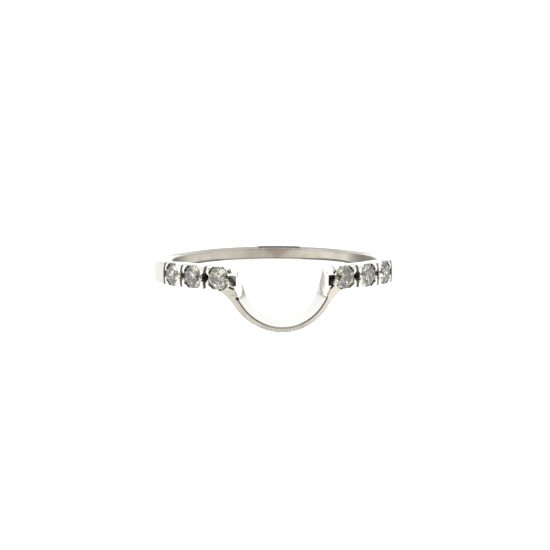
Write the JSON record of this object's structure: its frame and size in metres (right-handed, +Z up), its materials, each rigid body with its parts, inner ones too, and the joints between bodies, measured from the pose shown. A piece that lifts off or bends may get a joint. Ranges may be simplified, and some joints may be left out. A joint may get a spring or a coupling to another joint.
{
  "type": "curved wedding band",
  "caption": "Slim curved wedding band: jewelled shoulders end at a dip that passes round the head of a ring worn beside it.",
  "frame": {"origin": "on the ground, under the middle of the ring's box as it lies", "axes": "+X to the right shoulder seen from the front, +Y from the jewelled front to the back, +Z up from the ground"},
  "size_m": [0.0205, 0.0208, 0.0049],
  "materials": {
    "metal": "polished white gold, hazier on the finger side",
    "stone": "clear diamond, brilliant cut"
  },
  "bodies": {
    "root": {"band": "metal", "stone_left_1": "stone", "stone_left_2": "stone", "stone_left_3": "stone", "stone_right_1": "stone", "stone_right_2": "stone", "stone_right_3": "stone"}
  },
  "joints": []
}
